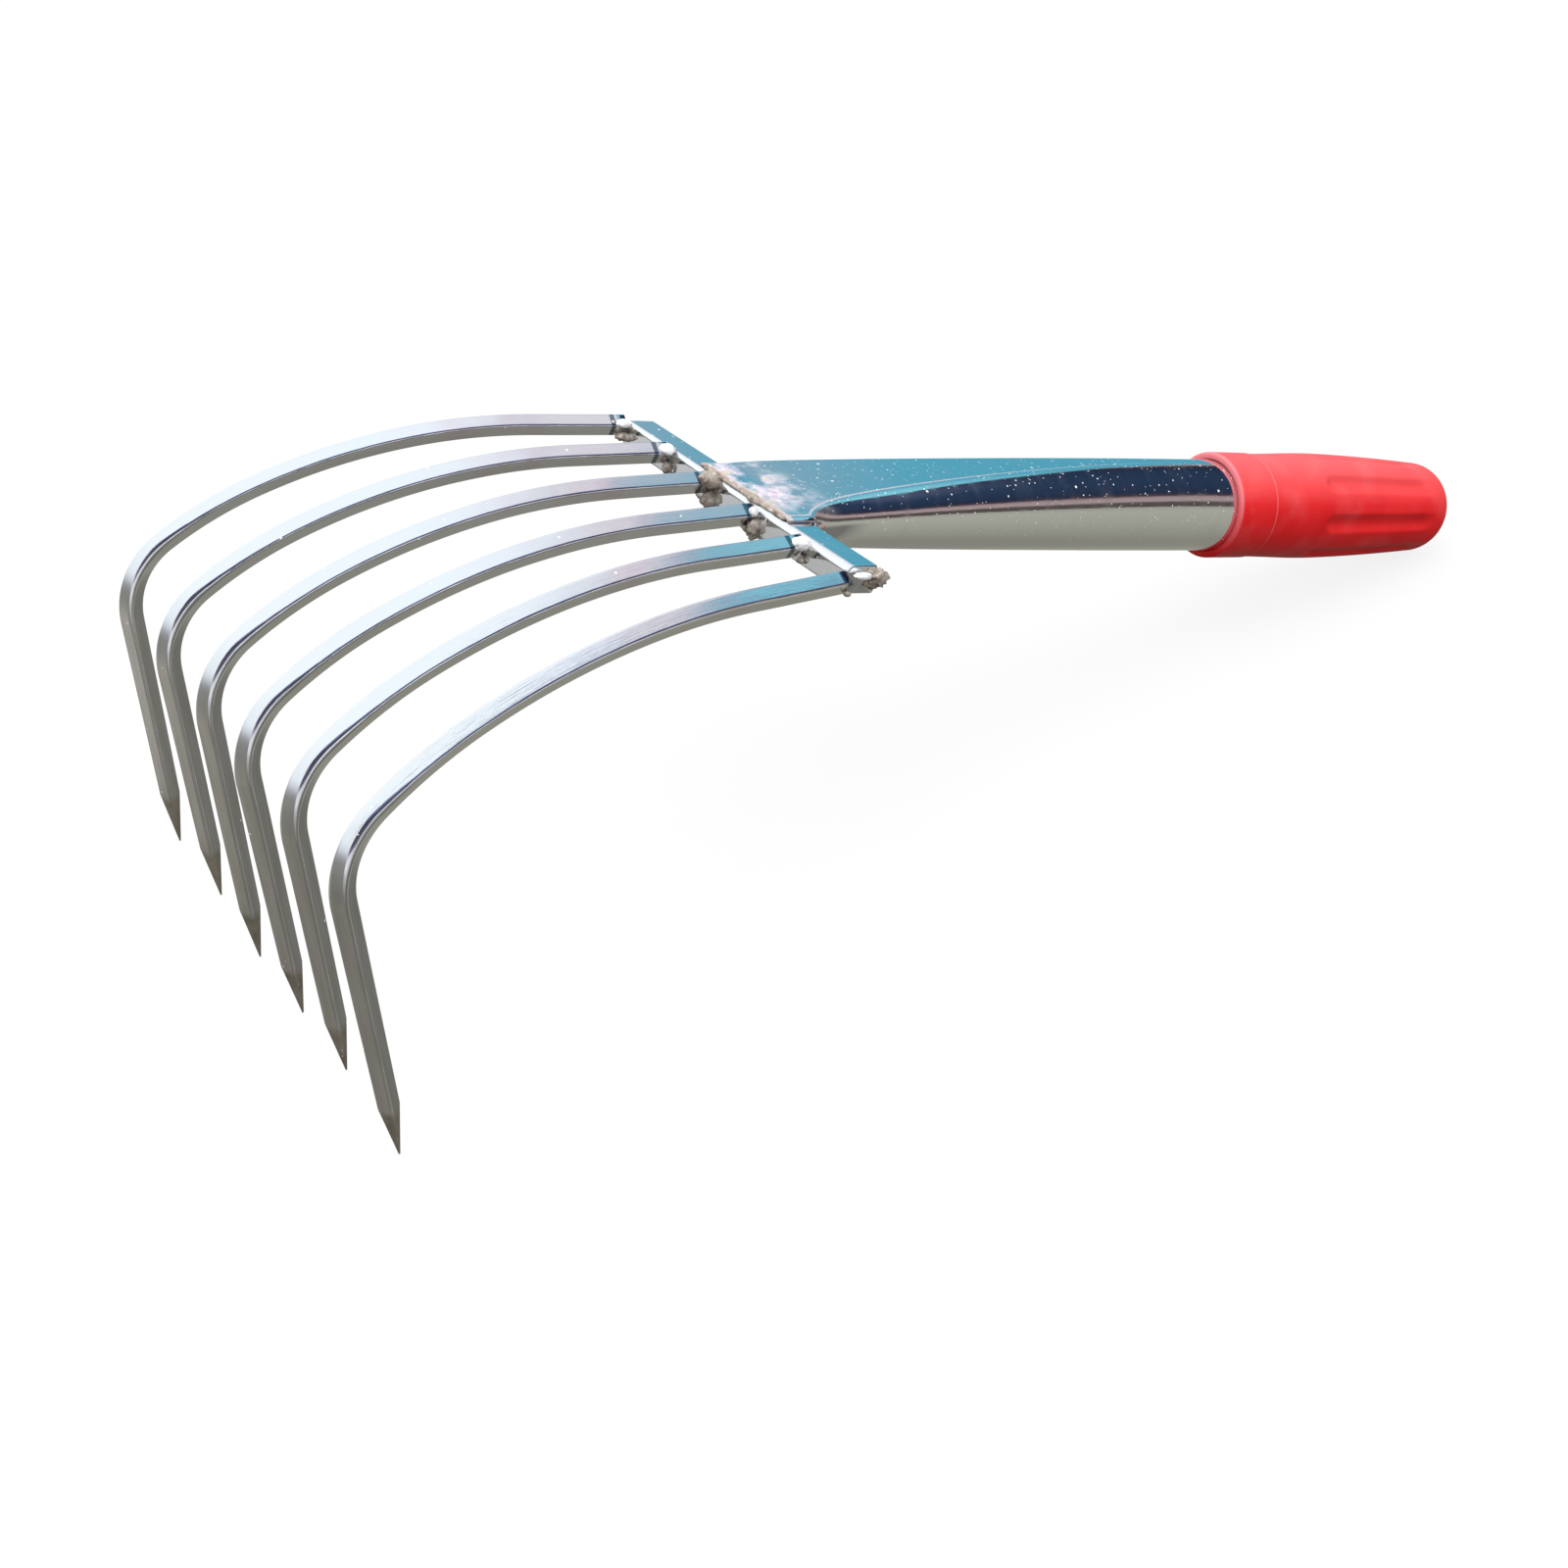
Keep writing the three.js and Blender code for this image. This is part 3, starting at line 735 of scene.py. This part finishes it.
def lump(name, centre, half_sizes, material, node, seed, lumpiness):
    """A weld bead: a ball pulled to size, with a lumpy skin."""
    around, levels = 40, 24
    half_sizes = np.array(half_sizes)
    centre = np.array(centre)
    rings = []
    for level in range(1, levels):
        polar = math.pi * level / levels
        ring = []
        for i in range(around):
            turn = 2 * math.pi * i / around
            unit = np.array(
                (math.cos(polar), math.sin(polar) * math.cos(turn), math.sin(polar) * math.sin(turn))
            )
            swell = 1 + lumpiness * wobble(unit * half_sizes + centre, 0.55, seed)
            swell += 0.6 * lumpiness * wobble(unit * half_sizes + centre, 1.4, seed + 9)
            ring.append(centre + unit * half_sizes * swell)
        rings.append(ring)
    points, faces = skin(rings)
    piece(name, points, [face[::-1] for face in faces], material, node)


# Each joint was welded by hand, so each bead has its own half sizes, tine 1 to 6. The bead on top
# lies on the upper face of the bar and runs down the joint; the other hangs below the bar.
TOP_BEADS = (
    (2.8, 2.4, 1.4),
    (3.0, 2.6, 1.8),
    (4.0, 3.6, 2.7),
    (1.5, 2.0, 1.4),
    (3.3, 2.8, 2.1),
    (3.0, 1.5, 1.2),
)
TOP_BEAD_AHEAD = 1.6
TOP_BEAD_ASIDE = 2.2
TOP_BEAD_RISE = 2.4
TOP_BEAD_DROP = (1.3, 0.9, 1.0, 1.0, 1.2, 0.1)
TOP_BEAD_SHIFT = (0.0, 0.0, 0.4, 0.0, 0.0, 5.4)  # tine 6's bead lies on the crossbar's end
TOP_BEAD_LUMPINESS = 0.20
UNDER_BEADS = (
    (3.0, 2.2, 1.5),
    (1.8, 1.7, 1.9),
    (2.6, 2.2, 2.9),
    (2.3, 2.2, 3.6),
    (1.2, 1.1, 1.0),
    (1.2, 1.1, 0.9),
)
UNDER_BEAD_AHEAD = 0.9
UNDER_BEAD_ASIDE = 2.6
UNDER_BEAD_DROP = (3.3, 4.0, 5.0, 3.6, 3.8, 2.6)
UNDER_BEAD_LUMPINESS = 0.28
BROWN_TOPPED = 3  # this tine's top bead is as brown as the ones below

SEAM_HALF_LENGTH = 24.5
SEAM_RADIUS = 0.58
SEAM_SWELLS = ((16.5, 2.2, 1.2), (-12.0, 3.2, 1.7))  # place across, reach and extra radius of each

END_LUMP_CENTRE = (CROSSBAR_DEPTH - 0.6, -CROSSBAR_LENGTH / 2 - 0.6, 0.7)
END_LUMP_HALF_SIZES = (3.7, 2.3, 2.7)
END_LUMPINESS = 0.6


def build_tine_beads(number, bright, brown):
    y = TINE_ACROSS[number - 1]
    z = TINE_HEIGHT[number - 1]
    on_top = (
        TOP_BEAD_SHIFT[number - 1] - TOP_BEAD_AHEAD,
        y - TOP_BEAD_ASIDE,
        z + TOP_BEAD_RISE - TOP_BEAD_DROP[number - 1],
    )
    below = (-UNDER_BEAD_AHEAD, y - UNDER_BEAD_ASIDE, z - UNDER_BEAD_DROP[number - 1])
    lump(
        f"tine_{number}_top_bead",
        on_top,
        TOP_BEADS[number - 1],
        brown if number == BROWN_TOPPED else bright,
        f"tine_bead_top_{number}",
        number,
        TOP_BEAD_LUMPINESS,
    )
    lump(
        f"tine_{number}_under_bead",
        below,
        UNDER_BEADS[number - 1],
        brown,
        f"tine_bead_under_{number}",
        number + 20,
        UNDER_BEAD_LUMPINESS,
    )


def build_seam(name, side, material, node):
    """A thin run of weld along a lip, swelling into a lump or two."""
    around, levels = 20, 110
    rings = []
    for level in range(levels + 1):
        share = level / levels
        y = -MOUTH_SHIFT + SEAM_HALF_LENGTH * (2 * share - 1)
        end = math.sqrt(max(1 - (2 * share - 1) ** 8, 0.0)) * 0.98 + 0.02
        swell = 1 + 0.35 * wobble((0, y, side * 5), 0.35, 5 + side) + 0.25 * wobble((0, y, side * 5), 1.2, 8)
        for middle, reach, extra in SEAM_SWELLS:
            swell += extra * math.exp(-(((y - middle) / reach) ** 2))
        radius = SEAM_RADIUS * end * max(swell, 0.4)
        centre = np.array((LIP_START - 0.1, y, side * (CROSSBAR_HEIGHT / 2 + 0.35)))
        ring = []
        for i in range(around):
            turn = 2 * math.pi * i / around
            ring.append(centre + radius * np.array((math.cos(turn), 0.0, -math.sin(turn))))
        rings.append(ring)
    points, faces = skin(rings)
    piece(name, points, faces, material, node)


def build_end_bead(material):
    lump(
        "crossbar_end_lump",
        END_LUMP_CENTRE,
        END_LUMP_HALF_SIZES,
        material,
        "crossbar_end_bead",
        41,
        END_LUMPINESS,
    )


# ---------- stage, light and camera ----------


def build_floor():
    """A pale floor. It is brighter to the eye than to the soft light it sends back up."""
    look = Look("pale_floor")
    path = look.nodes.new("ShaderNodeLightPath")
    pale = look.nodes.new("ShaderNodeBsdfDiffuse")
    pale.inputs[0].default_value = (0.86, 0.86, 0.86, 1)
    glow = look.nodes.new("ShaderNodeEmission")
    glow.inputs[0].default_value = (1, 1, 1, 1)
    glow.inputs[1].default_value = 0.985
    shade = look.nodes.new("ShaderNodeBsdfDiffuse")
    shade.inputs[0].default_value = (0.07, 0.07, 0.07, 1)
    seen = look.nodes.new("ShaderNodeMixShader")
    seen.inputs[0].default_value = 0.86
    look.links.new(pale.outputs[0], seen.inputs[1])
    look.links.new(glow.outputs[0], seen.inputs[2])
    blend = look.nodes.new("ShaderNodeMixShader")
    look.links.new(path.outputs["Is Camera Ray"], blend.inputs[0])
    look.links.new(shade.outputs[0], blend.inputs[1])
    look.links.new(seen.outputs[0], blend.inputs[2])
    look.links.new(blend.outputs[0], look.output.inputs[0])
    size = 6.0
    mesh = bpy.data.meshes.new("floor")
    corners = [(-size, -size, 0), (size, -size, 0), (size, size, 0), (-size, size, 0)]
    mesh.from_pydata(corners, [], [(0, 1, 2, 3)])
    mesh.materials.append(look.material)
    floor = bpy.data.objects.new("floor", mesh)
    floor.visible_glossy = False
    bpy.context.scene.collection.objects.link(floor)


def build_world():
    """White to the eye. Polished metal reflects a studio with a pale sky, a dark wall and a grey ground."""
    world = bpy.data.worlds.new("studio")
    bpy.context.scene.world = world
    world.use_nodes = True
    # The same short calls as a material's, on the world's own nodes.
    look = Look.__new__(Look)
    look.nodes = world.node_tree.nodes
    look.links = world.node_tree.links
    look.nodes.clear()
    output = look.nodes.new("ShaderNodeOutputWorld")
    direction = look.nodes.new("ShaderNodeTexCoord").outputs["Generated"]
    parts = []
    for axis in (handle_axis, across_axis, lift_axis):
        dot = look.nodes.new("ShaderNodeVectorMath")
        dot.operation = "DOT_PRODUCT"
        look.links.new(direction, dot.inputs[0])
        dot.inputs[1].default_value = axis
        parts.append(dot.outputs["Value"])
    x, y, z = parts

    # Low behind the rake: white beyond the head, teal beyond the handle, grey-brown ground.
    x_share = look.fade(x, -1.0, 1.0)
    z_share = look.fade(z, -1.0, 1.0)
    far_sky = look.ramp(
        x_share,
        (
            (0.50, (1.10, 1.12, 1.15)),
            (0.60, (0.92, 0.95, 1.00)),
            (0.67, (0.66, 0.71, 0.78)),
            (0.715, (0.38, 0.49, 0.59)),
            (0.745, (0.22, 0.41, 0.53)),
            (0.775, (0.10, 0.39, 0.53)),
            (0.95, (0.075, 0.36, 0.48)),
        ),
    )
    far_ground = look.ramp(
        z_share,
        (
            (0.10, (0.20, 0.19, 0.165)),
            (0.22, (0.27, 0.255, 0.22)),
            (0.29, (0.36, 0.355, 0.34)),
            (0.36, (0.48, 0.48, 0.48)),
            (0.43, (0.95, 0.97, 1.00)),
        ),
    )
    behind = look.mix(look.fade(z, -0.10, -0.02), far_ground, far_sky)

    # Overhead: bright sky that turns cyan towards the handle.
    near_zenith = look.math("MINIMUM", look.math("MAXIMUM", y, -0.10), 0.08)
    lean = look.math("SUBTRACT", x_share, look.math("MULTIPLY", near_zenith, 0.27))
    overhead = look.ramp(
        lean,
        (
            (0.20, (0.97, 1.04, 1.08)),
            (0.42, (0.95, 1.03, 1.09)),
            (0.50, (0.92, 0.99, 1.07)),
            (0.555, (0.86, 0.91, 1.00)),
            (0.600, (0.75, 0.77, 0.84)),
            (0.625, (0.69, 0.68, 0.75)),
            (0.642, (0.80, 0.78, 0.83)),
            (0.655, (0.77, 0.73, 0.79)),
            (0.668, (0.67, 0.65, 0.73)),
            (0.681, (0.59, 0.59, 0.67)),
            (0.690, (0.42, 0.49, 0.59)),
            (0.697, (0.27, 0.44, 0.55)),
            (0.708, (0.24, 0.44, 0.55)),
            (0.720, (0.24, 0.48, 0.60)),
            (0.735, (0.23, 0.55, 0.69)),
            (0.752, (0.25, 0.65, 0.79)),
            (0.772, (0.22, 0.60, 0.74)),
            (0.800, (0.12, 0.46, 0.61)),
            (0.840, (0.08, 0.38, 0.52)),
        ),
    )
    sky = look.mix(look.fade(z, 0.45, 0.70), behind, overhead)

    # In front of the points: a pale horizon and a ground that darkens towards the near side.
    front_ground = look.ramp(
        look.fade(y, -0.4, 0.6),
        (
            (0.30, (0.17, 0.165, 0.145)),
            (0.42, (0.21, 0.205, 0.175)),
            (0.50, (0.28, 0.265, 0.225)),
            (0.68, (0.33, 0.32, 0.275)),
            (0.76, (0.48, 0.47, 0.43)),
        ),
    )
    horizon = look.ramp(
        z_share,
        (
            (0.22, (0.25, 0.245, 0.22)),
            (0.30, (0.23, 0.225, 0.21)),
            (0.41, (0.25, 0.25, 0.24)),
            (0.45, (0.35, 0.36, 0.38)),
            (0.49, (0.62, 0.66, 0.72)),
            (0.55, (0.86, 0.92, 0.98)),
            (0.75, (0.95, 1.02, 1.07)),
        ),
    )
    front = look.mix(look.fade(z, -0.30, -0.60), horizon, front_ground)
    is_front = look.math("MULTIPLY", look.fade(x, -0.60, -0.70), look.fade(z, 0.75, 0.55))
    sky = look.mix(is_front, sky, front)

    # Beside it, on the near side: a dark wall with a lit edge under it, and a grey-green ground.
    beside_tube = look.ramp(
        z_share,
        (
            (0.13, (0.25, 0.245, 0.21)),
            (0.20, (0.30, 0.30, 0.255)),
            (0.36, (0.37, 0.37, 0.315)),
            (0.53, (0.40, 0.40, 0.345)),
            (0.590, (0.36, 0.355, 0.31)),
            (0.605, (0.085, 0.07, 0.065)),
            (0.665, (0.10, 0.08, 0.08)),
            (0.685, (0.40, 0.31, 0.31)),
            (0.735, (0.34, 0.25, 0.26)),
            (0.755, (0.06, 0.04, 0.05)),
            (0.790, (0.018, 0.03, 0.065)),
            (0.90, (0.022, 0.045, 0.095)),
        ),
    )
    dark_reach = look.math("MULTIPLY", look.fade(x, 0.10, -0.20), 0.16)
    beside_head = look.ramp(
        look.math("ADD", z_share, dark_reach),
        (
            (0.15, (0.25, 0.245, 0.22)),
            (0.22, (0.15, 0.145, 0.13)),
            (0.33, (0.14, 0.135, 0.125)),
            (0.41, (0.28, 0.28, 0.27)),
            (0.49, (0.45, 0.45, 0.45)),
            (0.54, (0.80, 0.80, 0.84)),
            (0.62, (0.74, 0.74, 0.80)),
            (0.66, (0.11, 0.10, 0.14)),
            (0.85, (0.045, 0.045, 0.085)),
            (0.95, (0.16, 0.19, 0.32)),
        ),
    )
    beside = look.mix(look.fade(x, 0.56, 0.64), beside_head, beside_tube)
    low_ahead = look.math("MULTIPLY", look.fade(x, 0.74, 0.86), look.fade(z, 0.05, -0.10))
    beside = look.mix(low_ahead, beside, (0.17, 0.165, 0.15))

    # The border between them leans: it is past the zenith over the head and far behind by the handle.
    border = look.ramp(
        x_share,
        (
            (0.20, (0.10, 0.10, 0.10)),
            (0.50, (0.28, 0.28, 0.28)),
            (0.73, (0.40, 0.40, 0.40)),
            (0.765, (0.44, 0.44, 0.44)),
            (0.790, (0.85, 0.85, 0.85)),
            (0.82, (0.99, 0.99, 0.99)),
        ),
    )
    border_y = look.math("SUBTRACT", look.math("MULTIPLY", border, 1.2), 0.6)
    past = look.math("SUBTRACT", y, border_y)
    sky = look.mix(look.fade(past, -0.03, 0.03), beside, sky)
    path = look.nodes.new("ShaderNodeLightPath")
    soft = look.mix(look.fade(z, -0.2, 0.9), (0.45, 0.45, 0.46), (1.45, 1.45, 1.45))
    plain = look.mix(path.outputs["Is Diffuse Ray"], (1.0, 1.0, 1.0), soft)
    seen = look.mix(path.outputs["Is Glossy Ray"], plain, sky)
    background = look.nodes.new("ShaderNodeBackground")
    look.links.new(seen, background.inputs[0])
    background.inputs[1].default_value = 1.0
    look.links.new(background.outputs[0], output.inputs[0])


def build_lights():
    """One broad soft lamp over the rake, kept out of the reflections."""
    lamp = bpy.data.lights.new("softbox", "AREA")
    lamp.shape = "DISK"
    lamp.size = 1.2
    lamp.energy = 8
    softbox = bpy.data.objects.new("softbox", lamp)
    softbox.location = (-0.1, 0.15, 1.3)
    softbox.rotation_euler = (Vector(softbox.location) * -1).to_track_quat("-Z", "Y").to_euler()
    softbox.visible_glossy = False
    bpy.context.scene.collection.objects.link(softbox)


# The camera's place and turn are given in the bench frame.
CAMERA_PLACE = Vector((-361.3, -552.6, 189.0))
CAMERA_YAW = math.radians(36.18)
CAMERA_PITCH = math.radians(22.80)
CAMERA_ROLL = math.radians(11.59)
CAMERA_LENS = 51.155


def build_camera():
    """A camera that looks along its yaw and pitch, turned about that line by the roll."""
    camera = bpy.data.cameras.new("camera")
    camera.sensor_width = 36
    camera.lens = CAMERA_LENS
    camera.clip_start = 0.01
    holder = bpy.data.objects.new("camera", camera)
    ahead = Vector(
        (
            math.sin(CAMERA_YAW) * math.cos(CAMERA_PITCH),
            math.cos(CAMERA_YAW) * math.cos(CAMERA_PITCH),
            -math.sin(CAMERA_PITCH),
        )
    )
    level_right = ahead.cross(UP).normalized()
    level_up = level_right.cross(ahead)
    right = math.cos(CAMERA_ROLL) * level_right + math.sin(CAMERA_ROLL) * level_up
    up = right.cross(ahead)
    turn = Matrix((right, up, -ahead)).transposed().to_4x4()
    holder.matrix_world = BENCH @ Matrix.Translation(CAMERA_PLACE * MM) @ turn
    bpy.context.scene.collection.objects.link(holder)
    bpy.context.scene.camera = holder


# ---------- the whole rake ----------

bar = bar_look()
bright = bright_weld_look()
brown = brown_weld_look()

for number in range(1, TINE_COUNT + 1):
    build_tine(number, bar)
    build_tine_beads(number, bright, brown)
build_crossbar(crossbar_look())
build_tube(tube_look())
build_grip(red_plastic_look())
build_seam("top_lip_seam", 1, brown, "handle_seam_top")
build_seam("under_lip_seam", -1, brown, "handle_seam_under")
build_end_bead(brown)

build_floor()
build_world()
build_lights()
build_camera()
bpy.context.scene.view_settings.view_transform = "Standard"
